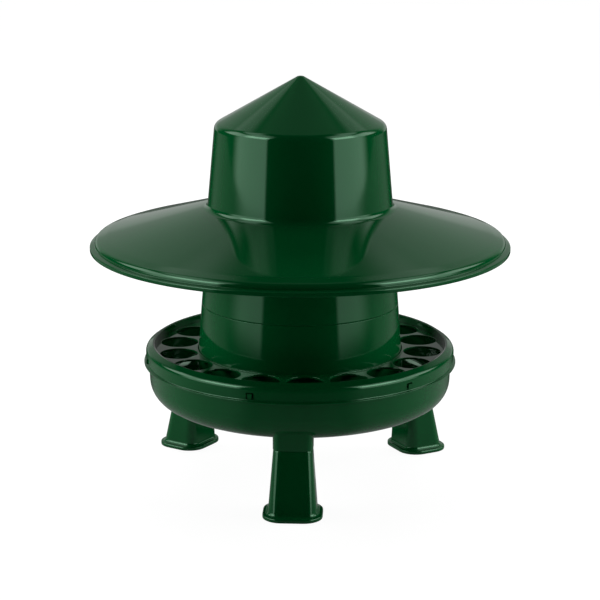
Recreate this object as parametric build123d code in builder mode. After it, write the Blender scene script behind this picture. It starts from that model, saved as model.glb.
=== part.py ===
from build123d import *
import os

# Free-standing poultry feeder moulded in green plastic. From the top down it is
# a pointed rain hat with a wide brim, a tapered feed hopper in two pieces, a
# flat grille ring with round feeding holes, a round pan with three leg sockets,
# and three tapered legs. It stands on z = 0 with its axis on Z, in millimetres.

# Heights above the ground
socket_foot_z = 78.0
pan_floor_z = 88.5
skirt_foot_z = 137.0
pan_shoulder_z = 141.0
snap_z = 144.6
grille_top_z = 152.0
pan_rim_z = 155.2
rim_shoulder_z = 155.6
ring_crest_z = 160.2
hopper_seam_z = 209.8
brim_foot_z = 277.5
dome_edge_z = 289.2
dome_break_z = 294.0
crown_foot_z = 326.3
hopper_top_z = 414.0
crown_shoulder_z = 424.4
hat_tip_z = 480.8

# Walls, and the clearances between pieces that slip together
hat_wall = 2.5
hopper_wall = 2.5
ring_wall = 2.0
pan_wall = 3.0
leg_wall = 2.5
slip_clearance = 0.3
grille_clearance = 0.5

# Rain hat
hat_tip_radius = 3.0
hat_tip_fillet = 6.0
crown_shoulder_radius = 101.3
crown_shoulder_fillet = 10.0
crown_foot_radius = 110.3
crown_foot_fillet = 6.0
brim_radius = 250.0
dome_edge_inset = 5.5
dome_edge_fillet = 3.0
dome_break_inset = 20.0
dome_break_fillet = 60.0
lip_root_height = 6.4
lip_edge_height = 4.6
lip_fillet = 1.2

# Hopper: the collar widens down to the pan, with arches that let the feed out
collar_foot_radius = 127.2
spigot_height = 12.0
spigot_wall = 2.0
spigot_ledge = 5.0
spigot_fillet = 0.8
arch_count = 3
arch_start_angle = -90.0
arch_width = 120.0
arch_height = 18.0
arch_fillet = 6.0

# Grille ring: a channel over the pan's rim, a skirt outside it, a grille inside
rim_inner_radius = 175.2
rim_inner_drop = 0.8
rim_crest_radius = 177.6
rim_shoulder_radius = 184.4
rim_fillet = 0.9
rim_shoulder_fillet = 4.0
skirt_foot_radius = 188.2
skirt_foot_fillet = 0.6
grille_thickness = 2.5
grille_edge_width = 1.6
grille_edge_height = 1.0
grille_edge_fillet = 0.5
hole_count = 18
hole_diameter = 45.0
hole_circle_radius = 148.0
hole_chamfer = 0.5

# Snap fixing of the ring: windows in its skirt over square studs on the pan
snap_count = 6
snap_start_angle = -105.0
stud_size = 5.4
stud_reach = 4.8
window_width = 9.0
window_height = 7.6
window_start_radius = 181.0

# Pan
pan_rim_radius = 180.8
pan_shoulder_radius = 182.6
pan_foot_radius = 180.5
pan_corner_fillet = 29.0
cone_foot_radius = 104.0
cone_foot_fillet = 8.0
cone_tip_radius = 14.0
cone_tip_fillet = 8.0
cone_height = 62.0

# Legs: width runs across the leg and depth runs along the pan's radius
leg_count = 3
leg_start_angle = -90.0
leg_top_radius = 159.0
leg_top_width = 46.2
leg_top_depth = 32.0
leg_top_corner = 10.0
leg_splay = 7.5
leg_foot_width = 56.5
leg_foot_depth = 50.0
leg_foot_corner = 12.0
leg_spigot_height = 9.0
socket_height = 30.0
foot_width = 69.0
foot_depth = 62.0
foot_corner_radius = 22.0
foot_height = 4.4
foot_fillet = 3.6
foot_edge_fillet = 1.4

crown_taper = (crown_foot_radius - crown_shoulder_radius) / (crown_shoulder_z - crown_foot_z)
pan_inside_z = pan_floor_z + pan_wall
leg_foot_radius = leg_top_radius + leg_splay


def barrel_radius(z):
    """Outer radius of the hopper barrel, which nests inside the hat's crown."""
    crown = crown_foot_radius - crown_taper * (z - crown_foot_z)
    return crown - hat_wall - slip_clearance


def collar_radius(z):
    """Outer radius of the hopper collar between its seam and the pan."""
    seam_radius = barrel_radius(hopper_seam_z)
    share = (hopper_seam_z - z) / (hopper_seam_z - pan_inside_z)
    return seam_radius + share * (collar_foot_radius - seam_radius)


def wall_section(corners, wall):
    """Section of a wall of even thickness along (radius, height, fillet) corners.

    The wall lies to the right of the outline, seen along its direction.
    """
    with BuildSketch(Plane.XZ) as section:
        with BuildLine() as outline:
            Polyline(*[(radius, height) for radius, height, _ in corners])
            for radius, height, size in corners:
                if size > 0:
                    corner = outline.vertices().sort_by_distance((radius, height))[0]
                    fillet(corner, radius=size)
            offset(amount=wall, side=Side.RIGHT)
        make_face()
    return section.sketch


def area_section(corners):
    """Section of a solid ring: the area inside (radius, height, fillet) corners."""
    with BuildSketch(Plane.XZ) as section:
        with BuildLine():
            Polyline(*[(radius, height) for radius, height, _ in corners], close=True)
        make_face()
        for radius, height, size in corners:
            if size > 0:
                corner = section.vertices().sort_by_distance((radius, height))[0]
                fillet(corner, radius=size)
    return section.sketch


def around_axis(count, start_angle):
    """Planes whose X runs outward from the axis and Z runs up, one per copy."""
    return [Plane.XY.rotated((0, 0, start_angle + 360 * i / count)) for i in range(count)]


def facing_out(plane, radius, z):
    """Plane that faces outward on the given copy's plane, at a radius and height."""
    return Plane(origin=plane.from_local_coords((radius, 0, z)), x_dir=plane.y_dir, z_dir=plane.x_dir)


def octagon(width, depth, corner):
    """Octagonal leg section: depth runs outward along X, width across it."""
    section = Rectangle(depth, width)
    chamfer(section.vertices(), length=corner)


def export(piece, name):
    """Label a finished piece and write it as its own STEP file."""
    piece.part.label = name
    export_step(piece.part, f"parts/{name}.step")


os.makedirs("parts", exist_ok=True)

# Rain hat: one moulding, a pointed crown on a wide shallow brim with a lip
with BuildPart() as rain_hat:
    dome_edge_radius = brim_radius - dome_edge_inset
    shell = wall_section(
        [
            (0, hat_tip_z, 0),
            (hat_tip_radius, hat_tip_z, hat_tip_fillet),
            (crown_shoulder_radius, crown_shoulder_z, crown_shoulder_fillet),
            (crown_foot_radius, crown_foot_z, crown_foot_fillet),
            (brim_radius - dome_break_inset, dome_break_z, dome_break_fillet),
            (dome_edge_radius, dome_edge_z, dome_edge_fillet),
            (dome_edge_radius, brim_foot_z, 0),
        ],
        hat_wall,
    )
    revolve(shell, axis=Axis.Z)
    lip_start_radius = dome_edge_radius - hat_wall / 2
    lip = area_section(
        [
            (lip_start_radius, brim_foot_z, 0),
            (brim_radius, brim_foot_z, lip_fillet / 2),
            (brim_radius, brim_foot_z + lip_edge_height, lip_fillet),
            (lip_start_radius, brim_foot_z + lip_root_height, 0),
        ]
    )
    revolve(lip, axis=Axis.Z)
export(rain_hat, "rain_hat")

# Hopper barrel: an open tapered tube, its upper half hidden inside the crown
with BuildPart() as hopper_barrel:
    barrel = area_section(
        [
            (barrel_radius(hopper_top_z), hopper_top_z, 0),
            (barrel_radius(hopper_top_z) - hopper_wall, hopper_top_z, 0),
            (barrel_radius(hopper_seam_z) - hopper_wall, hopper_seam_z, 0),
            (barrel_radius(hopper_seam_z), hopper_seam_z, 0),
        ]
    )
    revolve(barrel, axis=Axis.Z)
export(hopper_barrel, "hopper_barrel")

# Hopper collar: carries the barrel on a spigot and stands on the pan's floor,
# with arches between its feet that let the feed run out
with BuildPart() as hopper_collar:
    seam_radius = collar_radius(hopper_seam_z)
    spigot_top_z = hopper_seam_z + spigot_height
    spigot_radius = barrel_radius(spigot_top_z) - hopper_wall - slip_clearance
    collar = area_section(
        [
            (seam_radius, hopper_seam_z, 0),
            (spigot_radius, hopper_seam_z, 0),
            (spigot_radius, spigot_top_z, spigot_fillet),
            (spigot_radius - spigot_wall, spigot_top_z, 0),
            (spigot_radius - spigot_wall, hopper_seam_z, 0),
            (seam_radius - hopper_wall, hopper_seam_z - spigot_ledge, 0),
            (collar_foot_radius - hopper_wall, pan_inside_z, 0),
            (collar_foot_radius, pan_inside_z, 0),
        ]
    )
    revolve(collar, axis=Axis.Z)
    for spoke in around_axis(arch_count, arch_start_angle):
        with BuildSketch(facing_out(spoke, 0, pan_inside_z)):
            arch = Rectangle(arch_width, 2 * arch_height)
            fillet(arch.vertices(), radius=arch_fillet)
        extrude(amount=brim_radius, mode=Mode.SUBTRACT)
export(hopper_collar, "hopper_collar")

# Grille ring: a channel that caps the pan's rim, a skirt with snap windows
# outside it, and a flat grille with round feeding holes inside it
with BuildPart() as grille_ring:
    grille_foot_z = grille_top_z - grille_thickness
    grille_inner_radius = collar_radius(grille_foot_z) + grille_clearance
    channel = wall_section(
        [
            (rim_inner_radius, grille_foot_z, 0),
            (rim_inner_radius, ring_crest_z - rim_inner_drop, rim_fillet),
            (rim_crest_radius, ring_crest_z, rim_fillet),
            (rim_shoulder_radius, rim_shoulder_z, rim_shoulder_fillet),
            (skirt_foot_radius, skirt_foot_z, 0),
        ],
        ring_wall,
    )
    revolve(channel, axis=Axis.Z)
    skirt_foot = grille_ring.edges().filter_by(GeomType.CIRCLE).sort_by(
        lambda edge: (round(edge.center().Z, 2), -edge.radius)
    )[0]
    fillet(skirt_foot, radius=skirt_foot_fillet)
    grille = area_section(
        [
            (grille_inner_radius, grille_foot_z, 0),
            (rim_inner_radius + ring_wall / 2, grille_foot_z, 0),
            (rim_inner_radius + ring_wall / 2, grille_top_z, 0),
            (grille_inner_radius + grille_edge_width, grille_top_z, 0),
            (grille_inner_radius + grille_edge_width, grille_top_z + grille_edge_height, grille_edge_fillet),
            (grille_inner_radius, grille_top_z + grille_edge_height, grille_edge_fillet),
        ]
    )
    revolve(grille, axis=Axis.Z)
    with BuildSketch(Plane.XY.offset(grille_foot_z)):
        with PolarLocations(hole_circle_radius, hole_count, snap_start_angle):
            Circle(hole_diameter / 2)
    extrude(amount=grille_thickness, mode=Mode.SUBTRACT)
    hole_rims = grille_ring.edges().filter_by(GeomType.CIRCLE).filter_by(
        lambda edge: abs(edge.radius - hole_diameter / 2) < 0.01
    )
    chamfer(hole_rims, length=hole_chamfer)
    for spoke in around_axis(snap_count, snap_start_angle):
        with BuildSketch(facing_out(spoke, window_start_radius, snap_z)):
            Rectangle(window_width, window_height)
        extrude(amount=brim_radius - window_start_radius, mode=Mode.SUBTRACT)
export(grille_ring, "grille_ring")

# Feed pan: a round bowl with a spreading cone in its middle, three octagonal
# leg sockets under its floor and square snap studs on its wall
with BuildPart() as feed_pan:
    mid_wall = pan_wall / 2
    for spoke in around_axis(leg_count, leg_start_angle):
        with BuildSketch(spoke.offset(socket_foot_z)):
            with Locations((leg_top_radius, 0)):
                octagon(leg_top_width, leg_top_depth, leg_top_corner)
        extrude(amount=socket_height)
        with BuildSketch(spoke.offset(socket_foot_z)):
            with Locations((leg_top_radius, 0)):
                octagon(
                    leg_top_width - 2 * pan_wall,
                    leg_top_depth - 2 * pan_wall,
                    leg_top_corner - mid_wall,
                )
        extrude(amount=socket_height, mode=Mode.SUBTRACT)
    for spoke in around_axis(snap_count, snap_start_angle):
        with BuildSketch(facing_out(spoke, pan_shoulder_radius - mid_wall, snap_z)):
            Rectangle(stud_size, stud_size)
        extrude(amount=mid_wall + stud_reach)
    bowl_space = area_section(
        [
            (0, pan_floor_z + mid_wall, 0),
            (pan_foot_radius - mid_wall, pan_floor_z + mid_wall, pan_corner_fillet - mid_wall),
            (pan_shoulder_radius - mid_wall, pan_shoulder_z, 0),
            (pan_rim_radius - mid_wall, pan_rim_z, 0),
            (0, pan_rim_z, 0),
        ]
    )
    revolve(bowl_space, axis=Axis.Z, mode=Mode.SUBTRACT)
    bowl = wall_section(
        [
            (pan_rim_radius, pan_rim_z, 0),
            (pan_shoulder_radius, pan_shoulder_z, 0),
            (pan_foot_radius, pan_floor_z, pan_corner_fillet),
            (cone_foot_radius, pan_floor_z, cone_foot_fillet),
            (cone_tip_radius, pan_floor_z + cone_height, cone_tip_fillet),
            (0, pan_floor_z + cone_height, 0),
        ],
        pan_wall,
    )
    revolve(bowl, axis=Axis.Z)
export(feed_pan, "feed_pan")

# Legs: hollow tapered octagons on a flared foot, each with a spigot that slips
# up into its socket
for number, spoke in enumerate(around_axis(leg_count, leg_start_angle), start=1):
    with BuildPart() as leg:
        with BuildSketch(spoke):
            with Locations((leg_foot_radius, 0)):
                octagon(leg_foot_width, leg_foot_depth, leg_foot_corner)
        with BuildSketch(spoke.offset(socket_foot_z)):
            with Locations((leg_top_radius, 0)):
                octagon(leg_top_width, leg_top_depth, leg_top_corner)
        loft(ruled=True)
        with BuildSketch(spoke):
            with Locations((leg_foot_radius, 0)):
                RectangleRounded(foot_depth, foot_width, foot_corner_radius)
        extrude(amount=foot_height)
        foot_top = leg.faces().filter_by(Axis.Z).sort_by(Axis.Z)[1]
        fillet(foot_top.inner_wires()[0].edges(), radius=foot_fillet)
        foot_top = leg.faces().filter_by(Axis.Z).sort_by(Axis.Z)[1]
        fillet(foot_top.outer_wire().edges(), radius=foot_edge_fillet)
        with BuildSketch(spoke):
            with Locations((leg_foot_radius, 0)):
                octagon(
                    leg_foot_width - 2 * leg_wall,
                    leg_foot_depth - 2 * leg_wall,
                    leg_foot_corner - leg_wall / 2,
                )
        with BuildSketch(spoke.offset(socket_foot_z - leg_wall)):
            with Locations((leg_top_radius, 0)):
                octagon(
                    leg_top_width - 2 * leg_wall,
                    leg_top_depth - 2 * leg_wall,
                    leg_top_corner - leg_wall / 2,
                )
        loft(ruled=True, mode=Mode.SUBTRACT)
        spigot_inset = 2 * (pan_wall + slip_clearance)
        with BuildSketch(spoke.offset(socket_foot_z)):
            with Locations((leg_top_radius, 0)):
                octagon(
                    leg_top_width - spigot_inset,
                    leg_top_depth - spigot_inset,
                    leg_top_corner - spigot_inset / 4,
                )
        extrude(amount=leg_spigot_height)
    export(leg, f"leg_{number}")
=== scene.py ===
# %% [markdown]
# A poultry feeder moulded in glossy dark green plastic. A pointed rain hat
# shelters a round hopper, the feed runs down into a round pan, and the birds
# reach it through the round holes of a grille ring. Nearly every piece is round
# about one upright axis, so most of this lesson is about turned shapes, and
# about how a very glossy surface shows each small fillet by its highlights.
#
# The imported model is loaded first, as the fixed frame that sets every size.

# %% Load the frame
import math

import bmesh
import bpy
from mathutils import Matrix, Vector


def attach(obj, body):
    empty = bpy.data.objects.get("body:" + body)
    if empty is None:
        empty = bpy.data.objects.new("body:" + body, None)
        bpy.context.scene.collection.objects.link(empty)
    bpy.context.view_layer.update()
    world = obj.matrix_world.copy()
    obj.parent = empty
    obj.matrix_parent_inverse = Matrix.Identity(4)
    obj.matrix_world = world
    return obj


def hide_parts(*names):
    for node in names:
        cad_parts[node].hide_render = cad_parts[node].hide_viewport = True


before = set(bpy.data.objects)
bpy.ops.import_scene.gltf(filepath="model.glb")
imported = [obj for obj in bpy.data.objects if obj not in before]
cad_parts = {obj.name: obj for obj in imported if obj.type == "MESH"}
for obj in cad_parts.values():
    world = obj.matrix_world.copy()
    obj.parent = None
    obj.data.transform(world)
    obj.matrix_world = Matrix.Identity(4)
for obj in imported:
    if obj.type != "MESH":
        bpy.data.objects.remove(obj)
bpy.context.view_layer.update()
MM = 0.001

# %% [markdown]
# A mesh, a lamp or a camera reaches the scene inside an object. One function
# makes the object and links it to the scene, and a second one does so for a
# mesh that is written down as lists of points, edges and faces.

# %% Objects in the scene
def new_object(name, data):
    """An object that holds the data, linked to the scene."""
    made = bpy.data.objects.new(name, data)
    bpy.context.scene.collection.objects.link(made)
    return made


def mesh_object(name, points, edges, faces):
    """An object with a mesh of its own; the points are in metres."""
    mesh = bpy.data.meshes.new(name)
    mesh.from_pydata(points, edges, faces)
    return new_object(name, mesh)


# %% [markdown]
# The photograph is taken from a little above the brim, from about two metres
# away and 2.6 degrees to one side of the front leg. The camera stands at that
# place, looks down by the measured angle and keeps a centred lens. Its roll is
# the fraction of a degree by which the feeder's axis leans in the picture.

# %% Camera
camera_distance = 2.1580
camera_height = 0.7668
camera_azimuth = math.radians(-90 + 2.6)
camera_pitch = math.radians(14.46)
camera_roll = math.radians(0.15)

lens = bpy.data.cameras.new("camera")
lens.lens = 111.03
lens.sensor_width = 36.0
camera = new_object("camera", lens)
camera.location = (
    camera_distance * math.cos(camera_azimuth),
    camera_distance * math.sin(camera_azimuth),
    camera_height,
)
facing = Matrix.Rotation(camera_azimuth + math.pi / 2, 4, "Z")
tilt = Matrix.Rotation(math.pi / 2 - camera_pitch, 4, "X")
roll = Matrix.Rotation(camera_roll, 4, "Z")
camera.matrix_world = Matrix.Translation(camera.location) @ facing @ tilt @ roll
bpy.context.scene.camera = camera
bpy.context.scene.view_settings.view_transform = "Standard"
print("camera at", [round(c, 4) for c in camera.location])

# %% [markdown]
# Materials and Geometry Nodes are both trees of nodes, so one small function
# adds a node to either kind. Its settings belong to the node itself, and its
# inputs get plain values or sockets of other nodes, which it links. A second
# function turns the hex value of a colour into the numbers that shaders use.

# %% Add a node
def add_node(tree, kind, inputs=(), **settings):
    """Add a node; its inputs, by name or in their order, get values or links."""
    node = tree.nodes.new(kind)
    for name, value in settings.items():
        setattr(node, name, value)
    given_inputs = inputs.items() if isinstance(inputs, dict) else enumerate(inputs)
    for key, value in given_inputs:
        if isinstance(value, bpy.types.NodeSocket):
            tree.links.new(value, node.inputs[key])
        else:
            node.inputs[key].default_value = value
    return node


def linear(hex_colour):
    """sRGB hex colour as linear red, green, blue and alpha."""
    channels = [int(hex_colour[i:i + 2], 16) / 255 for i in (1, 3, 5)]
    return tuple(
        c / 12.92 if c <= 0.04045 else ((c + 0.055) / 1.055) ** 2.4 for c in channels
    ) + (1.0,)


WHITE = linear("#ffffff")
print("white is", WHITE)

# %% [markdown]
# The feeder is injection moulded in polypropylene from a polished mould. Such
# a skin is a deep coloured body under a clear, nearly mirror-smooth surface.
# The pigment lies so close under the skin that it greens what the skin mirrors
# head-on, and at a flat angle the reflection is plain. The skin is very slightly
# wavy where the wall shrank as it cooled. The waves here are 45 mm long and a
# few hundredths of a millimetre high. Where the plastic flowed more slowly the
# gloss is a touch duller, in cloudy patches a few centimetres across. Fine rubs
# from handling are about 0.2 mm wide on the real skin and are drawn 1 mm wide,
# so that they show at all.

# %% Gloss moulded polypropylene
CLOUD_SIZE = 60 * MM
RUB_WIDTH = 1 * MM
WAVE_LENGTH = 45 * MM
WAVE_HEIGHT = 0.05 * MM
POLISHED_ROUGHNESS = 0.045
DULLED_ROUGHNESS = 0.13


def gloss_moulded_polypropylene(name, body_colour, cloud_colour, head_on_colour):
    """Glossy plastic; the head-on colour tints what it mirrors when faced squarely."""
    material = bpy.data.materials.new(name)
    material.use_nodes = True
    tree = material.node_tree
    skin = tree.nodes["Principled BSDF"]
    skin.inputs["IOR"].default_value = 1.49
    skin.inputs["Specular Tint"].default_value = linear(head_on_colour)
    place = add_node(tree, "ShaderNodeTexCoord").outputs["Object"]

    clouds = add_node(
        tree, "ShaderNodeTexNoise",
        {"Vector": place, "Scale": 1 / CLOUD_SIZE, "Detail": 2.0, "Roughness": 0.5},
    ).outputs["Fac"]
    colour = add_node(
        tree, "ShaderNodeMix",
        {"Factor": clouds, "A": linear(body_colour), "B": linear(cloud_colour)},
        data_type="RGBA",
    )
    tree.links.new(colour.outputs["Result"], skin.inputs["Base Color"])

    rubs = add_node(
        tree, "ShaderNodeTexNoise",
        {"Vector": place, "Scale": 1 / RUB_WIDTH, "Detail": 1.0, "Roughness": 0.5},
    ).outputs["Fac"]
    dulling = add_node(tree, "ShaderNodeMath", [clouds, rubs], operation="MULTIPLY")
    roughness = add_node(
        tree, "ShaderNodeMapRange",
        {
            "Value": dulling.outputs["Value"],
            "To Min": POLISHED_ROUGHNESS, "To Max": DULLED_ROUGHNESS,
        },
    )
    tree.links.new(roughness.outputs["Result"], skin.inputs["Roughness"])

    waves = add_node(
        tree, "ShaderNodeTexNoise", {"Vector": place, "Scale": 1 / WAVE_LENGTH, "Detail": 0.0}
    ).outputs["Fac"]
    bump = add_node(
        tree, "ShaderNodeBump", {"Height": waves, "Distance": WAVE_HEIGHT, "Strength": 1.0}
    )
    tree.links.new(bump.outputs["Normal"], skin.inputs["Normal"])
    print("material", name, "with", len(tree.nodes), "nodes")
    return material


green_plastic = gloss_moulded_polypropylene(
    "gloss_moulded_polypropylene", "#02451f", "#034a23", head_on_colour="#bfffd6"
)

# %% [markdown]
# A moulded wall is drawn as an outline of corners, each with its radius and
# height in millimetres and the fillet the mould has there. Every corner gets a
# true arc, and a long straight run gets an extra point 0.6 mm outside each arc:
# it holds the shading flat up to the fillet, which a mirror-like skin needs. A
# corner that turns by less than a hundredth of a degree counts as straight.

# %% Outlines with rounded corners
HOLD = 0.6
STRAIGHT = 1e-4


def rounded_outline(corners, arc_step=9.0):
    """Points round a closed outline of (x, y, fillet) corners, all in mm."""
    points = []
    for i, (x, y, fillet) in enumerate(corners):
        corner = Vector((x, y))
        before = Vector(corners[i - 1][:2]) - corner
        after = Vector(corners[(i + 1) % len(corners)][:2]) - corner
        turn = math.pi - before.angle(after)
        if fillet <= 0 or turn < STRAIGHT:
            points.append(corner)
            continue
        reach = fillet * math.tan(turn / 2)
        start = corner + before.normalized() * reach
        end = corner + after.normalized() * reach
        middle = corner + (before.normalized() + after.normalized()).normalized() * (
            fillet / math.cos(turn / 2)
        )
        steps = max(3, math.ceil(math.degrees(turn) / arc_step))
        sweep = (start - middle).angle_signed(end - middle)
        if before.length - reach > 3 * HOLD:
            points.append(start + before.normalized() * HOLD)
        for step in range(steps + 1):
            arm = (start - middle).copy()
            arm.rotate(Matrix.Rotation(-sweep * step / steps, 2))
            points.append(middle + arm)
        if after.length - reach > 3 * HOLD:
            points.append(end + after.normalized() * HOLD)
    return points


sample = rounded_outline([(0, 0, 2), (10, 0, 2), (10, 10, 2), (0, 10, 2)])
print("a 10 mm square with 2 mm fillets has", len(sample), "points")

# %% [markdown]
# A moulding has walls of even thickness, so only its outer skin is drawn. The
# inner skin follows at the wall's thickness: each straight run is moved inward,
# neighbouring runs meet again at new corners, and the fillets there grow or
# shrink by the wall. The closed outline is kept as an object of edges only.

# %% Walls of even thickness
LEAST_FILLET = 0.3


def wall_corners(corners, wall, end_fillet):
    """Close an outer skin's corners into a wall: the inner skin lies to its right."""
    lines = []
    for (x0, y0, _), (x1, y1, _) in zip(corners, corners[1:]):
        run = (Vector((x1, y1)) - Vector((x0, y0))).normalized()
        lines.append((Vector((x0, y0)) + Vector((run.y, -run.x)) * wall, run))
    inner = [(*lines[0][0], end_fillet)]
    for i, ((start, run), (other, other_run)) in enumerate(zip(lines, lines[1:]), start=1):
        share = (other - start).cross(other_run) / run.cross(other_run)
        meeting = start + run * share
        turns_right = run.cross(other_run) < 0
        fillet = corners[i][2] - wall if turns_right else corners[i][2] + wall
        inner.append((*meeting, max(fillet, LEAST_FILLET)))
    last_x, last_y, _ = corners[-1]
    last_run = lines[-1][1]
    inner.append((last_x + last_run.y * wall, last_y - last_run.x * wall, end_fillet))
    outer = [corners[0][:2] + (end_fillet,), *corners[1:-1], corners[-1][:2] + (end_fillet,)]
    return outer + inner[::-1]


def outline_object(name, loops):
    """An object of edges only: closed loops of (radius, height) points in mm."""
    points, edges = [], []
    for loop in loops:
        first = len(points)
        points += [(radius * MM, 0.0, height * MM) for radius, height in loop]
        edges += [(first + i, first + (i + 1) % len(loop)) for i in range(len(loop))]
    return mesh_object(name, points, edges, [])


sample = wall_corners([(0, 10, 0), (10, 10, 3), (10, 0, 0)], 2, 0.5)
print("the inner corner of a 2 mm wall round (10, 10):", sample[4])

# %% [markdown]
# A turned piece follows one rule: its outline is swept once round the axis. A
# Geometry Nodes tree does that, so the number of steps round stays a setting.
# The outline is stood up in the plane that a swept profile uses, moved in by
# the radius of the path, and swept along a circle of that radius. Merging
# closes the poles and doubles, and edges sharper than an angle stay crisp.

# %% Tree that turns an outline round the axis
MERGE_DISTANCE = 0.005 * MM
PATH_RADIUS = 0.1


def new_tree(name, inputs):
    """Geometry tree with a Geometry input, the named inputs and a Geometry output."""
    tree = bpy.data.node_groups.new(name, "GeometryNodeTree")
    tree.interface.new_socket("Geometry", in_out="INPUT", socket_type="NodeSocketGeometry")
    for label, kind, value in inputs:
        socket = tree.interface.new_socket(label, in_out="INPUT", socket_type=kind)
        if value is not None:
            socket.default_value = value
    tree.interface.new_socket("Geometry", in_out="OUTPUT", socket_type="NodeSocketGeometry")
    return tree, add_node(tree, "NodeGroupInput"), add_node(tree, "NodeGroupOutput")


def finish_tree(tree, geometry, given, result):
    """Merge doubles, keep sharp edges, realize and set the material."""
    merged = add_node(
        tree, "GeometryNodeMergeByDistance", {"Geometry": geometry, "Distance": MERGE_DISTANCE}
    )
    angle = add_node(tree, "GeometryNodeInputMeshEdgeAngle")
    smooth_edge = add_node(
        tree, "FunctionNodeCompare",
        {"A": angle.outputs["Unsigned Angle"], "B": given.outputs["Sharp angle"]},
        data_type="FLOAT", operation="LESS_EQUAL",
    )
    faces = add_node(
        tree, "GeometryNodeSetShadeSmooth", {"Geometry": merged.outputs["Geometry"]}, domain="FACE"
    )
    edges = add_node(
        tree, "GeometryNodeSetShadeSmooth",
        {"Geometry": faces.outputs["Geometry"], "Shade Smooth": smooth_edge.outputs["Result"]},
        domain="EDGE",
    )
    real = add_node(tree, "GeometryNodeRealizeInstances", {"Geometry": edges.outputs["Geometry"]})
    painted = add_node(
        tree, "GeometryNodeSetMaterial",
        {"Geometry": real.outputs["Geometry"], "Material": given.outputs["Material"]},
    )
    tree.links.new(painted.outputs["Geometry"], result.inputs["Geometry"])
    print("tree", tree.name, "with", len(tree.nodes), "nodes")


common_inputs = [
    ("Sharp angle", "NodeSocketFloat", math.radians(40)),
    ("Material", "NodeSocketMaterial", None),
]
turned, given, result = new_tree(
    "turned_round_the_axis", [("Steps around", "NodeSocketInt", 256), *common_inputs]
)
profile = add_node(turned, "GeometryNodeMeshToCurve", {"Mesh": given.outputs["Geometry"]})
stood = add_node(
    turned, "GeometryNodeTransform",
    {
        "Geometry": profile.outputs["Curve"],
        "Translation": (-PATH_RADIUS, 0.0, 0.0),
        "Rotation": (math.pi / 2, 0.0, 0.0),
    },
)
path = add_node(
    turned, "GeometryNodeCurvePrimitiveCircle",
    {"Resolution": given.outputs["Steps around"], "Radius": PATH_RADIUS},
    mode="RADIUS",
)
swept = add_node(
    turned, "GeometryNodeCurveToMesh",
    {"Curve": path.outputs["Curve"], "Profile Curve": stood.outputs["Geometry"]},
)
finish_tree(turned, swept.outputs["Mesh"], given, result)

# %% [markdown]
# A tree's result becomes a plain mesh: the evaluated object is read once, its
# faces are turned outward, and the object with the modifier is removed. The
# finished piece, green from its tree, then stands for its part of the imported
# model.

# %% Turn a tree's result into a finished piece
def baked(source, tree, name, settings):
    """Run the tree on the source object and return its result as a plain object."""
    modifier = source.modifiers.new(tree.name, "NODES")
    modifier.node_group = tree
    for item in tree.interface.items_tree:
        if item.item_type == "SOCKET" and item.in_out == "INPUT" and item.name in settings:
            modifier[item.identifier] = settings[item.name]
    bpy.context.view_layer.update()
    evaluated = source.evaluated_get(bpy.context.evaluated_depsgraph_get())
    mesh = bpy.data.meshes.new_from_object(evaluated)
    bpy.data.objects.remove(source)
    mesh.name = name
    outward = bmesh.new()
    outward.from_mesh(mesh)
    bmesh.ops.recalc_face_normals(outward, faces=outward.faces)
    outward.to_mesh(mesh)
    outward.free()
    return new_object(name, mesh)


def turned_piece(name, outlines, steps=256):
    """Sweep closed outlines of rounded corners round the axis."""
    loops = [rounded_outline(outline) for outline in outlines]
    return baked(outline_object(name, loops), turned, name, {
        "Steps around": steps, "Sharp angle": math.radians(40), "Material": green_plastic,
    })


def settle(piece, *nodes):
    """The finished piece goes under the root body, and its CAD nodes are hidden."""
    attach(piece, "root")
    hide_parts(*nodes)
    print(piece.name, "faces", len(piece.data.polygons))

# %% [markdown]
# The rain hat is one thin moulding: a cone on a slightly tapered crown, then a
# wide shallow dome with a short upright rim and a flat lip. Its outline is
# drawn once for the outer skin, the inner skin follows 2.5 mm inside it, and
# the lip's corners take the place of the rim's lowest one. Each corner is
# written as radius, height and fillet. On the axis a corner has no fillet.

# %% Rain hat
hat_wall = 2.5
hat_tip_z = 480.8
crown_shoulder = 101.3
crown_shoulder_z = 424.4
crown_foot = 110.3
crown_foot_z = 326.3
dome_edge = 244.5
brim_radius = 250.0
brim_foot_z = 277.5
hat_outer = [
    (0.0, hat_tip_z, 0.0),
    (3.0, hat_tip_z, 6.0),
    (crown_shoulder, crown_shoulder_z, 10.0),
    (crown_foot, crown_foot_z, 7.5),
    (230.0, 294.0, 60.0),
    (dome_edge, 289.2, 6.5),
    (dome_edge, brim_foot_z, 0.0),
]
hat_lip = [(dome_edge, 283.567, 0.5), (brim_radius, 282.1, 1.2), (brim_radius, brim_foot_z, 0.6)]
hat_section = wall_corners(hat_outer, hat_wall, end_fillet=0.4)
hat_section[len(hat_outer) - 1:len(hat_outer)] = hat_lip
for on_axis in (0, -1):
    hat_section[on_axis] = (0.0, hat_section[on_axis][1], 0.0)
rain_hat = turned_piece("rain_hat_moulding", [hat_section], steps=360)
settle(rain_hat, "rain_hat")

# %% [markdown]
# The hopper is a plain tapered barrel that stands on a collar. The barrel nests
# inside the hat's crown and goes on with its taper. The collar has a spigot
# inside the barrel, and low arches round its foot let the feed out. The seam
# between the two shows as a fine dark line because each edge has a small
# moulded radius, so both get one of nearly a millimetre.

# %% Hopper barrel and collar
hopper_wall = 2.5
nesting_gap = 0.3
barrel_top_z = 414.0
seam_z = 209.8
seam_fillet = 0.9
collar_foot = 127.2
collar_foot_z = 91.5
crown_taper = (crown_foot - crown_shoulder) / (crown_shoulder_z - crown_foot_z)


def barrel_radius(z):
    """Outside of the barrel, one wall and a gap inside the line of the crown."""
    return crown_foot - crown_taper * (z - crown_foot_z) - hat_wall - nesting_gap


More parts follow.
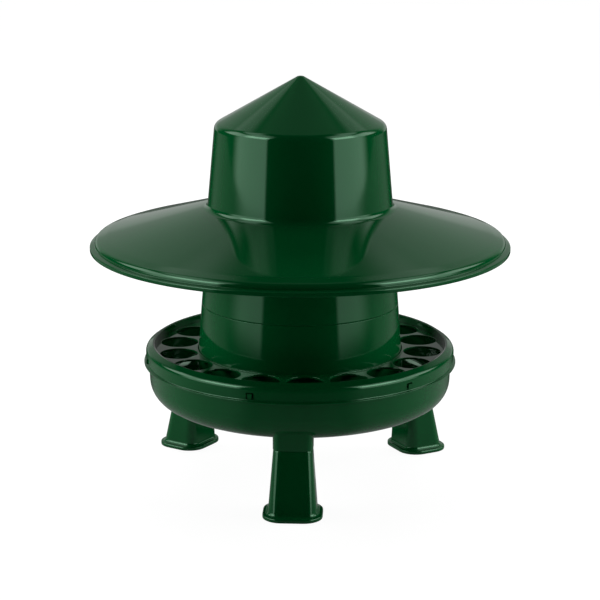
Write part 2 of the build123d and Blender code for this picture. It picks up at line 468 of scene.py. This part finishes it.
barrel_top = barrel_radius(barrel_top_z)
seam = barrel_radius(seam_z)
barrel_section = [
    (barrel_top, barrel_top_z, 0.5),
    (barrel_top - hopper_wall, barrel_top_z, 0.5),
    (seam - hopper_wall, seam_z, 0.3),
    (seam, seam_z, seam_fillet),
]
hopper_barrel = turned_piece("hopper_barrel_moulding", [barrel_section])
settle(hopper_barrel, "hopper_barrel")

spigot_wall = 2.0
spigot_top_z = seam_z + 12.0
spigot_radius = barrel_radius(spigot_top_z) - hopper_wall - nesting_gap
collar_section = [
    (seam, seam_z, seam_fillet),
    (spigot_radius, seam_z, 0.2),
    (spigot_radius, spigot_top_z, 0.8),
    (spigot_radius - spigot_wall, spigot_top_z, 0.5),
    (spigot_radius - spigot_wall, seam_z, 1.0),
    (seam - hopper_wall, seam_z - 5.0, 2.0),
    (collar_foot - hopper_wall, collar_foot_z, 0.3),
    (collar_foot, collar_foot_z, 0.3),
]
hopper_collar = turned_piece("hopper_collar_moulding", [collar_section])
print("seam radius", round(seam, 2), "spigot radius", round(spigot_radius, 2))

# %% [markdown]
# What repeats round the axis, such as an arch, a feeding hole, a leg socket or a
# snap stud, is modelled once at angle zero. A second tree stands its copies round
# the axis on points that all lie at the origin, each turned by its own share.

# %% Tree that stands copies round the axis
copies, given, result = new_tree(
    "copies_round_the_axis",
    [("Count", "NodeSocketInt", 3), ("Start angle", "NodeSocketFloat", 0.0), *common_inputs],
)
points = add_node(copies, "GeometryNodePoints", {"Count": given.outputs["Count"]})
index = add_node(copies, "GeometryNodeInputIndex")
share = add_node(
    copies, "ShaderNodeMath", [index.outputs["Index"], given.outputs["Count"]],
    operation="DIVIDE",
)
turn = add_node(
    copies, "ShaderNodeMath", [share.outputs["Value"], 2 * math.pi, given.outputs["Start angle"]],
    operation="MULTIPLY_ADD",
)
rotation = add_node(copies, "ShaderNodeCombineXYZ", {"Z": turn.outputs["Value"]})
standing = add_node(
    copies, "GeometryNodeInstanceOnPoints",
    {
        "Points": points.outputs["Points"],
        "Instance": given.outputs["Geometry"],
        "Rotation": rotation.outputs["Vector"],
    },
)
real = add_node(copies, "GeometryNodeRealizeInstances", {"Geometry": standing.outputs["Instances"]})
finish_tree(copies, real.outputs["Geometry"], given, result)


def copied_piece(source, name, count, start_angle):
    """Stand copies of the source round the axis, the first one at the start angle."""
    return baked(source, copies, name, {
        "Count": count, "Start angle": math.radians(start_angle),
        "Sharp angle": math.radians(30), "Material": green_plastic,
    })

# %% [markdown]
# The arches at the collar's foot, the windows in the ring's skirt and the square
# snap studs are all straight prisms that point outward: a rounded outline pushed
# along one direction. An opening is a prism that a Boolean cuts away. The edges
# of the cut are marked sharp, because the mirror-like skin would otherwise shade
# softly across them. The three arches lie over the three legs.

# %% Arches at the collar's foot
CRISP_ANGLE = math.radians(35)


def outward_prism(name, outline, near, far, centre_z):
    """Prism from radius near to far along X; the outline is (across, up) points in mm."""
    count = len(outline)
    points = [
        (radius * MM, across * MM, (centre_z + up) * MM)
        for radius in (near, far)
        for across, up in outline
    ]
    faces = [tuple(range(count)), tuple(range(2 * count - 1, count - 1, -1))]
    faces += [(i, count + i, count + (i + 1) % count, (i + 1) % count) for i in range(count)]
    return mesh_object(name, points, [], faces)


def window_outline(width, height, fillet):
    """Rounded rectangle round the origin, as (across, up) points."""
    x, y = width / 2, height / 2
    corners = [(-x, -y, fillet), (x, -y, fillet), (x, y, fillet), (-x, y, fillet)]
    return rounded_outline(corners, arc_step=15)


def cut(piece, cutter):
    """Cut the closed cutter out of the piece and keep the cut's edges crisp."""
    modifier = piece.modifiers.new("cut", "BOOLEAN")
    modifier.operation = "DIFFERENCE"
    modifier.solver = "EXACT"
    modifier.object = cutter
    evaluated = piece.evaluated_get(bpy.context.evaluated_depsgraph_get())
    mesh = bpy.data.meshes.new_from_object(evaluated)
    crisp = bmesh.new()
    crisp.from_mesh(mesh)
    for edge in crisp.edges:
        if len(edge.link_faces) == 2 and edge.calc_face_angle() > CRISP_ANGLE:
            edge.smooth = False
    crisp.to_mesh(mesh)
    crisp.free()
    piece.modifiers.clear()
    piece.data = mesh
    bpy.data.objects.remove(cutter)


leg_count = 3
first_leg = -90
arch_width = 120.0
arch_height = 18.0
arch_outline = window_outline(arch_width, 2 * arch_height, 6.0)
arch_cutter = outward_prism("arch_cutter", arch_outline, 20.0, 200.0, collar_foot_z)
cut(hopper_collar, copied_piece(arch_cutter, "arch_cutters", leg_count, first_leg))
settle(hopper_collar, "hopper_collar")

# %% [markdown]
# The grille plate is flat, with eighteen round feeding holes. One bay of it, a
# twenty-degree slice with its hole, is modelled and the copying tree closes the
# ring. The mesh is a row of points along the slice's edge, rows round the hole
# and down its wall, and the slice's edge again at the foot. Each point of the
# hole lies straight in from its point of the edge, so the mesh round every hole
# is even. The plate ends inside the hoop and the channel that carry it.

# %% Outline of one bay of the grille plate
hole_count = 18
first_hole = -105.0
hole_radius = 22.5
hole_circle = 148.0
plate_top = 152.0
plate_foot = 149.5
plate_outer = 176.2
plate_gap = 0.5
collar_share = (seam_z - plate_foot) / (seam_z - collar_foot_z)
plate_inner = seam + collar_share * (collar_foot - seam) + plate_gap
hoop_width = 1.6
bay_inner = plate_inner + hoop_width / 2
half_bay = math.pi / hole_count
hole_centre = Vector((hole_circle, 0.0))


def heading(angle):
    """Unit vector at an angle in radians."""
    return Vector((math.cos(angle), math.sin(angle)))


def bay_edge(angle):
    """Point of the slice's edge that lies this way from the hole's centre."""
    way = heading(angle)
    reach = math.inf
    for side in (1, -1):
        normal = Vector((-math.sin(side * half_bay), math.cos(side * half_bay))) * side
        approach = way.dot(normal)
        if approach > 1e-9:
            reach = min(reach, -hole_centre.dot(normal) / approach)
    along = hole_centre.dot(way)
    beyond = along * along - hole_centre.length_squared
    reach = min(reach, -along + math.sqrt(beyond + plate_outer ** 2))
    inside = beyond + bay_inner ** 2
    if inside > 0 and -along - math.sqrt(inside) > 0:
        reach = min(reach, -along - math.sqrt(inside))
    return hole_centre + way * reach


def corner_angles():
    """Angles at which the slice's four corners are seen from the hole."""
    found = []
    for radius in (bay_inner, plate_outer):
        for side in (1, -1):
            corner = Vector((radius * math.cos(half_bay), side * radius * math.sin(half_bay)))
            found.append(math.atan2(corner.y, corner.x - hole_circle) % (2 * math.pi))
    return found


print("bay corners seen at", [round(math.degrees(angle)) for angle in corner_angles()])

# %% [markdown]
# The hole's edge is rounded at the top and the foot by a few rows of points,
# each a little wider than the hole and a little inside the plate's face. The
# rows are joined by faces of four corners, which the legs use again.

# %% Grille plate with its feeding holes
hole_points = 72
hole_edge = [(1.2, 0.0), (0.55, 0.0), (0.15, 0.12), (0.0, 0.5)]
hole_rows = [(grow, plate_top - inset) for grow, inset in hole_edge]
hole_rows += [(grow, plate_foot + inset) for grow, inset in reversed(hole_edge)]


def joined_rows(row_count, row_length):
    """Faces between closed rows of equal length, each row joined to the next."""
    faces = []
    for row in range(row_count - 1):
        here, there = row * row_length, (row + 1) * row_length
        for i in range(row_length):
            j = (i + 1) % row_length
            faces.append((here + i, here + j, there + j, there + i))
    return faces


def plate_bay():
    """One slice of the plate, closed on its top, its foot and round its hole."""
    even = {round(2 * math.pi * i / hole_points, 9) for i in range(hole_points)}
    angles = sorted(even | {round(angle, 9) for angle in corner_angles()})
    edge = [bay_edge(angle) for angle in angles]
    rows = [(edge, plate_top)]
    for grow, height in hole_rows:
        reach = hole_radius + grow
        rows.append(([hole_centre + heading(angle) * reach for angle in angles], height))
    rows.append((edge, plate_foot))
    points = [(p.x * MM, p.y * MM, height * MM) for row, height in rows for p in row]
    return mesh_object("plate_bay", points, [], joined_rows(len(rows), len(angles)))


grille_plate = copied_piece(plate_bay(), "grille_plate", hole_count, first_hole)
print("grille plate faces", len(grille_plate.data.polygons))

# %% [markdown]
# The channel that caps the pan's rim is a turned wall whose skirt ends in a small
# lip, and the plate's inner edge has a low raised hoop. Six windows are cut
# through the skirt, where the ring snaps over the pan's square studs. The plate
# is joined to the turned walls as it is, a closed shell that ends inside them.

# %% Grille ring
ring_wall = 2.0
channel_inner = 175.2
skirt_radius = 185.9
skirt_lip_radius = 188.2
skirt_foot_z = 137.0
hoop_top = plate_top + 1.0
snap_count = 6
snap_z = 144.6
window_width = 9.0
window_height = 7.6


def joined(name, parts):
    """Put the meshes of several objects into one, each still a closed shell."""
    whole = bmesh.new()
    for part in parts:
        whole.from_mesh(part.data)
    mesh = bpy.data.meshes.new(name)
    whole.to_mesh(mesh)
    whole.free()
    mesh.materials.append(green_plastic)
    for part in parts:
        bpy.data.objects.remove(part)
    return new_object(name, mesh)


channel_outer = [
    (channel_inner, plate_foot, 0.4),
    (channel_inner, 159.4, 0.9),
    (177.6, 160.2, 0.9),
    (skirt_radius, 154.6, 6.5),
    (skirt_radius, skirt_foot_z, 0.0),
]
skirt_lip = [
    (skirt_radius, 139.6, 1.2),
    (skirt_lip_radius, 138.9, 0.5),
    (skirt_lip_radius, skirt_foot_z, 0.6),
]
channel = wall_corners(channel_outer, ring_wall, end_fillet=0.3)
channel[len(channel_outer) - 1:len(channel_outer)] = skirt_lip
hoop = [
    (plate_inner, plate_foot, 0.4),
    (plate_inner + hoop_width, plate_foot, 0.3),
    (plate_inner + hoop_width, hoop_top, 0.5),
    (plate_inner, hoop_top, 0.5),
]
skirt = turned_piece("grille_channel", [channel, hoop], steps=360)
window = window_outline(window_width, window_height, 0.8)
window_cutter = outward_prism("window_cutter", window, 181.0, 200.0, snap_z)
cut(skirt, copied_piece(window_cutter, "window_cutters", snap_count, first_hole))
grille_ring = joined("grille_ring_moulding", [skirt, grille_plate])
settle(grille_ring, "grille_ring")

# %% [markdown]
# A leg, its socket and its foot plate all have rounded rectangles as sections,
# drawn by width, depth and corner radius. All sections have the same number of
# points, so a leg is a plain stack of sections, joined row by row.

# %% Rounded sections and stacks
CORNER_STEPS = 8
SIDE_POINTS = (0.04, 0.35, 0.65, 0.96)


def rounded_rectangle(width, depth, radius):
    """Points round a rounded rectangle: depth along X, width along Y, in mm."""
    x, y = depth / 2 - radius, width / 2 - radius
    centres = [Vector((x, y)), Vector((-x, y)), Vector((-x, -y)), Vector((x, -y))]
    points = []
    for i, centre in enumerate(centres):
        for step in range(CORNER_STEPS + 1):
            angle = math.radians(90 * i + 90 * step / CORNER_STEPS)
            points.append(centre + radius * heading(angle))
        side_start = points[-1]
        side_end = centres[(i + 1) % 4] + radius * heading(math.radians(90 * i + 90))
        points += [side_start.lerp(side_end, share) for share in SIDE_POINTS]
    return points


def stack(name, rows, capped):
    """Join rows of equal point counts; a row is (centre radius, points, height or heights)."""
    count = len(rows[0][1])
    points = []
    for centre, section, height in rows:
        heights = height if isinstance(height, list) else [height] * count
        points += [((centre + p.x) * MM, p.y * MM, h * MM) for p, h in zip(section, heights)]
    faces = joined_rows(len(rows), count)
    if capped:
        faces.append(tuple(range(count))[::-1])
        faces.append(tuple((len(rows) - 1) * count + i for i in range(count)))
    return mesh_object(name, points, [], faces)


print("points in a section:", len(rounded_rectangle(46.2, 32.0, 9.5)))

# %% [markdown]
# The pan is a deep bowl with a cone in its middle that spreads the feed. Its
# wall leans out a little, which moves the centre of its wide fillet outward.
# Three leg sockets hang under the floor and follow the bowl's curve at the top,
# where each point is carried up to the middle of the bowl's wall.

# %% Feed pan
pan_wall = 3.0
pan_foot_z = 88.5
bowl_radius = 180.5
bowl_fillet = 29.0
cone_top_z = 150.5
leg_top = 159.0
socket_foot_z = 78.0
stud_size = 5.4
stud_face = 187.4
pan_outer = [
    (180.8, 155.2, 0.0),
    (182.6, 141.0, 3.0),
    (bowl_radius, pan_foot_z, bowl_fillet),
    (104.0, pan_foot_z, 8.0),
    (14.0, cone_top_z, 8.0),
    (0.0, cone_top_z, 0.0),
]
pan_section = wall_corners(pan_outer, pan_wall, end_fillet=0.7)
for on_axis in (len(pan_outer) - 1, len(pan_outer)):
    pan_section[on_axis] = (0.0, pan_section[on_axis][1], 0.0)
bowl = turned_piece("pan_bowl", [pan_section], steps=360)
lean_shift = 0.6
fillet_centre = bowl_radius - bowl_fillet + lean_shift
middle_fillet = bowl_fillet - pan_wall / 2


def bowl_middle(radius):
    """Height of the middle of the bowl's wall, over its floor and its wide fillet."""
    reach = max(0.0, radius - fillet_centre)
    return pan_foot_z + bowl_fillet - math.sqrt(max(middle_fillet ** 2 - reach ** 2, 0.0))


def socket():
    """A sleeve under the bowl: up its outside, over its top and down its inside."""
    mouth = rounded_rectangle(45.2, 31.0, 9.0)
    outside = rounded_rectangle(46.2, 32.0, 9.5)
    inside = rounded_rectangle(40.2, 26.0, 6.5)
    tops = [
        [bowl_middle(math.hypot(leg_top + p.x, p.y)) for p in section]
        for section in (outside, inside)
    ]
    rows = [
        (mouth, socket_foot_z),
        (rounded_rectangle(45.8, 31.6, 9.3), socket_foot_z + 0.15),
        (outside, socket_foot_z + 0.6),
        (outside, 80.0),
        (outside, 86.0),
        (outside, tops[0]),
        (inside, tops[1]),
        (inside, socket_foot_z + 0.3),
        (mouth, socket_foot_z),
    ]
    return stack("socket", [(leg_top, *row) for row in rows], capped=False)


sockets = copied_piece(socket(), "leg_sockets", leg_count, first_leg)
stud_outline = window_outline(stud_size, stud_size, 0.7)
stud = outward_prism("stud", stud_outline, 181.1, stud_face, snap_z)
studs = copied_piece(stud, "snap_studs", snap_count, first_hole)
feed_pan = joined("feed_pan_moulding", [bowl, sockets, studs])
settle(feed_pan, "feed_pan")

# %% [markdown]
# Each leg is a hollow tapered tube. It starts a little smaller than its socket,
# so a fine seam shows there, widens down to the foot, and runs out in a small
# cove over the rounded foot plate. The legs are three pieces, so that they can
# be taken apart, and each is the same stack turned to its own place by the tree.

# %% Sections of a leg
leg_foot = 166.5
leg_top_size = (45.2, 31.0, 9.0)
leg_foot_size = (57.0, 50.0, 12.0)
foot_plate_size = (69.0, 62.0, 22.0)


def leg_section(height, grow=0.0):
    """Centre radius and section of the leg at a height, grown outward by a cove."""
    share = height / socket_foot_z
    width, depth, corner = (
        foot + share * (top - foot) for top, foot in zip(leg_top_size, leg_foot_size)
    )
    section = rounded_rectangle(width + 2 * grow, depth + 2 * grow, corner + grow)
    return leg_foot + share * (leg_top - leg_foot), section


def foot_section(shrink):
    """Centre radius and section of the foot plate, smaller all round by shrink."""
    width, depth, corner = foot_plate_size
    return leg_foot, rounded_rectangle(width - 2 * shrink, depth - 2 * shrink, corner - shrink)


print("the leg's centre moves out by", leg_foot - leg_top, "mm down to the foot")

# %% [markdown]
# The stack of a leg starts with the spigot in the socket, goes down the outside,
# round the cove and the foot plate's edge, and comes back up the hollow inside.

# %% Legs
cove = 3.6
foot_height = 4.4
foot_fillet = 1.4


def leg():
    """A leg as one stack of sections, closed at the spigot and inside the hollow."""
    spigot = rounded_rectangle(39.6, 25.4, 6.2)
    rows = [
        (leg_top, rounded_rectangle(38.0, 23.8, 5.4), 87.0),
        (leg_top, spigot, 86.0),
        (leg_top, spigot, socket_foot_z),
        (leg_top, rounded_rectangle(43.6, 29.4, 8.2), socket_foot_z),
        (leg_top, rounded_rectangle(44.8, 30.6, 8.8), 77.8),
    ]
    for height in (77.3, 76.0, 70.0, 58.0, 46.0, 34.0, 22.0, 12.0, 8.6):
        rows.append((*leg_section(height), height))
    for step in range(7):
        angle = math.radians(90 * step / 6)
        grow = cove * (1 - math.cos(angle))
        height = foot_height + cove * (1 - math.sin(angle))
        rows.append((*leg_section(height, grow), height))
    rows.append((*foot_section(foot_fillet + 0.25), foot_height))
    for step in range(6):
        angle = math.radians(90 * step / 5)
        shrink = foot_fillet * (1 - math.sin(angle))
        height = foot_height - foot_fillet * (1 - math.cos(angle))
        rows.append((*foot_section(shrink), height))
    for shrink, height in ((0.0, 0.5), (0.12, 0.12), (0.5, 0.0)):
        rows.append((*foot_section(shrink), height))
    rows += [
        (leg_foot, rounded_rectangle(52.0, 45.0, 9.5), 0.0),
        (leg_foot, rounded_rectangle(51.4, 44.4, 9.2), 0.6),
        (leg_top, rounded_rectangle(40.4, 26.2, 6.6), 75.5),
    ]
    return stack("leg", rows, capped=True)


for number in range(1, leg_count + 1):
    angle = first_leg + (number - 1) * 360 / leg_count
    settle(copied_piece(leg(), f"leg_{number}_moulding", 1, angle), f"leg_{number}")

# %% [markdown]
# A mirror-like skin shows the studio itself, so the studio's brightness depends
# on the direction. Each patch of it is a soft-edged window: from one angle to
# another round the feeder, counted from the front, where the photograph is
# taken from, and from one height to another. The same functions serve the floor,
# whose patches go by the angle and the distance.

# %% Soft-edged patches of light
def smooth_window(tree, value, rises_from, full_from, full_to, falls_to):
    """1 inside a range of the value and 0 outside it, with a soft ramp at each end."""
    ramps = []
    for low, high, at_low in ((rises_from, full_from, 0.0), (full_to, falls_to, 1.0)):
        ramp = add_node(
            tree, "ShaderNodeMapRange",
            {
                "Value": value, "From Min": low, "From Max": high,
                "To Min": at_low, "To Max": 1.0 - at_low,
            },
            interpolation_type="SMOOTHSTEP",
        )
        ramps.append(ramp.outputs["Result"])
    return add_node(tree, "ShaderNodeMath", ramps, operation="MULTIPLY").outputs["Value"]


def degrees(tree, arc, value):
    """The arc sine or arc cosine of a value, in degrees."""
    radians = add_node(tree, "ShaderNodeMath", [value], operation=arc).outputs["Value"]
    turned_to_degrees = add_node(
        tree, "ShaderNodeMath", [radians, math.degrees(1)], operation="MULTIPLY"
    )
    return turned_to_degrees.outputs["Value"]


def angle_from_front(tree, way):
    """Degrees round Z between a direction and the front: 0 in front, 180 behind."""
    front = (math.cos(camera_azimuth), math.sin(camera_azimuth), 0)
    flat = add_node(tree, "ShaderNodeVectorMath", [way, (1, 1, 0)], operation="MULTIPLY")
    unit = add_node(tree, "ShaderNodeVectorMath", [flat.outputs["Vector"]], operation="NORMALIZE")
    facing_front = add_node(
        tree, "ShaderNodeVectorMath", [unit.outputs["Vector"], front], operation="DOT_PRODUCT"
    )
    return degrees(tree, "ARCCOSINE", facing_front.outputs["Value"])


def sum_of_patches(tree, angle, other, patches):
    """Brightness of all patches: window of the angle times window of the other value."""
    total = 0.0
    for angle_window, other_window, brightness in patches:
        windows = [
            smooth_window(tree, angle, *angle_window),
            smooth_window(tree, other, *other_window),
        ]
        patch = add_node(tree, "ShaderNodeMath", windows, operation="MULTIPLY")
        total = add_node(
            tree, "ShaderNodeMath", [patch.outputs["Value"], brightness, total],
            operation="MULTIPLY_ADD",
        ).outputs["Value"]
    return total


def shader_by_ray(tree, otherwise, mirrored, seen):
    """One shader for what the camera sees, one for what is mirrored, one for all else."""
    ray = add_node(tree, "ShaderNodeLightPath")
    inner = add_node(
        tree, "ShaderNodeMixShader", [ray.outputs["Is Glossy Ray"], otherwise, mirrored]
    )
    outer = add_node(
        tree, "ShaderNodeMixShader", [ray.outputs["Is Camera Ray"], inner.outputs["Shader"], seen]
    )
    return outer.outputs["Shader"]

# %% [markdown]
# Tall panels stand at both sides, with a sharp front edge and a hot middle that
# gives the moulded edges their fine bright lines. Behind the feeder the backdrop
# glows, most at the horizon. In front and overhead the studio is black. The
# camera sees plain white wherever it looks, and dull surfaces get a low even
# light, as the lamps below carry their light.

# %% The studio round the feeder
# Each patch: degrees round from the front, degrees up, brightness. Its light
# rises between the first two degrees and falls between the last two.
studio_patches = [
    ((42, 46, 84, 100), (-12, -8, 40, 60), 2.3),
    ((45, 50, 74, 90), (16, 24, 36, 43), 5.5),
    ((84, 98, 114, 130), (14, 20, 36, 46), 3.0),
    ((52, 66, 126, 148), (46, 51, 60, 67), 1.5),
    ((136, 150, 190, 200), (-12, -8, 4, 10), 0.46),
    ((128, 150, 190, 200), (4, 9, 32, 46), 0.33),
    ((140, 150, 164, 172), (34, 40, 47, 54), 0.45),
    ((134, 150, 190, 200), (50, 58, 76, 82), 0.13),
]
ROOM_LIGHT = 0.02
world = bpy.data.worlds.new("studio")
bpy.context.scene.world = world
world.use_nodes = True
world.cycles.sampling_method = "NONE"
tree = world.node_tree
tree.nodes.clear()
direction = add_node(tree, "ShaderNodeTexCoord").outputs["Generated"]
height = add_node(tree, "ShaderNodeSeparateXYZ", {"Vector": direction}).outputs["Z"]
elevation = degrees(tree, "ARCSINE", height)
brightness = sum_of_patches(tree, angle_from_front(tree, direction), elevation, studio_patches)
mirrored = add_node(tree, "ShaderNodeBackground", {"Color": WHITE, "Strength": brightness})
room = add_node(tree, "ShaderNodeBackground", {"Color": WHITE, "Strength": ROOM_LIGHT})
white = add_node(tree, "ShaderNodeBackground", {"Color": WHITE, "Strength": 1.0})
shown = shader_by_ray(
    tree, room.outputs["Background"], mirrored.outputs["Background"], white.outputs["Background"]
)
add_node(tree, "ShaderNodeOutputWorld", {"Surface": shown})
print("studio with", len(tree.nodes), "nodes")

# %% [markdown]
# The floor is white paper. For the camera it glows up to white and keeps only a
# faint shadow close to the feet; near the feeder its glow is lowered by a few
# hundredths, a painted shadow.
# What the skin mirrors of the floor is painted light: a glow in patches by angle
# and by distance, dim in front, brighter beside the panels.

# %% Floor
# Painted light and shade on the floor, seen only in the skin's reflections.
# Each patch: degrees round from the front, metres from the axis, brightness.
painted_floor_light = [
    ((-2, -1, 20, 45), (-2, -1, 0.35, 0.8), 0.20),
    ((25, 45, 115, 150), (-2, -1, 0.8, 1.2), 0.30),
    ((40, 45, 66, 92), (1.1, 1.7, 9, 10), 1.20),
    ((78, 95, 128, 150), (0.8, 1.2, 9, 10), 0.22),
    ((150, 165, 190, 200), (-2, -1, 9, 10), 0.10),
]
PAINTED_SHADOW_NEAR = 0.06
floor_paper = bpy.data.materials.new("white_paper_floor")
floor_paper.use_nodes = True
floor_paper.cycles.emission_sampling = "NONE"
tree = floor_paper.node_tree
tree.nodes.clear()
place = add_node(tree, "ShaderNodeTexCoord").outputs["Object"]
away = add_node(tree, "ShaderNodeVectorMath", [place], operation="LENGTH").outputs["Value"]
paper = add_node(tree, "ShaderNodeBsdfDiffuse", {"Color": linear("#cbcbcb")})
shadow_paper = add_node(tree, "ShaderNodeBsdfDiffuse", {"Color": linear("#616161")})
# Painted shadow: the camera's glow of the floor is lowered near the feeder.
near = smooth_window(tree, away, -2, -1, 0.25, 0.9)
glow = add_node(tree, "ShaderNodeMath", [near, -PAINTED_SHADOW_NEAR, 1.0], operation="MULTIPLY_ADD")
glowing = add_node(tree, "ShaderNodeEmission", {"Strength": glow.outputs["Value"]})
seen = add_node(
    tree, "ShaderNodeAddShader", [shadow_paper.outputs["BSDF"], glowing.outputs["Emission"]]
)
brightness = sum_of_patches(tree, angle_from_front(tree, place), away, painted_floor_light)
mirrored = add_node(tree, "ShaderNodeEmission", {"Color": WHITE, "Strength": brightness})
shown = shader_by_ray(
    tree, paper.outputs["BSDF"], mirrored.outputs["Emission"], seen.outputs["Shader"]
)
add_node(tree, "ShaderNodeOutputMaterial", {"Surface": shown})

floor_corners = [(-6, -6, 0), (6, -6, 0), (6, 6, 0), (-6, 6, 0)]
floor = mesh_object("floor", floor_corners, [], [(0, 1, 2, 3)])
floor.data.materials.append(floor_paper)
print("floor material with", len(tree.nodes), "nodes")

# %% [markdown]
# The lamps carry the plain level of light: a large soft one low at each side, one
# behind and a small one overhead. They don't show in the skin, which mirrors the
# panels of the studio in their place.

# %% Lamps
LAMP_DISTANCE = 2.2
lamp_target = Vector((0, 0, 0.3))


def soft_lamp(name, azimuth, elevation, width, height, brightness):
    """Area light that looks at the hopper, placed by degrees from the front and up."""
    data = bpy.data.lights.new(name, "AREA")
    data.shape = "RECTANGLE"
    data.size = width
    data.size_y = height
    data.energy = brightness * width * height * math.pi
    lamp = new_object(name, data)
    around, up = camera_azimuth + math.radians(azimuth), math.radians(elevation)
    lamp.location = lamp_target + LAMP_DISTANCE * Vector(
        (math.cos(up) * math.cos(around), math.cos(up) * math.sin(around), math.sin(up))
    )
    lamp.rotation_euler = (lamp_target - lamp.location).to_track_quat("-Z", "Y").to_euler()
    lamp.visible_glossy = False
    lamp.visible_camera = False
    print(name, "of", round(data.energy, 1), "watts")


soft_lamp("side_lamp_left", -98, 8, width=2.6, height=1.0, brightness=7.0)
soft_lamp("side_lamp_right", 98, 8, width=2.6, height=1.0, brightness=7.0)
soft_lamp("back_lamp", 180, 42, width=2.4, height=1.3, brightness=4.6)
soft_lamp("top_lamp", 180, 84, width=1.0, height=1.0, brightness=3.6)
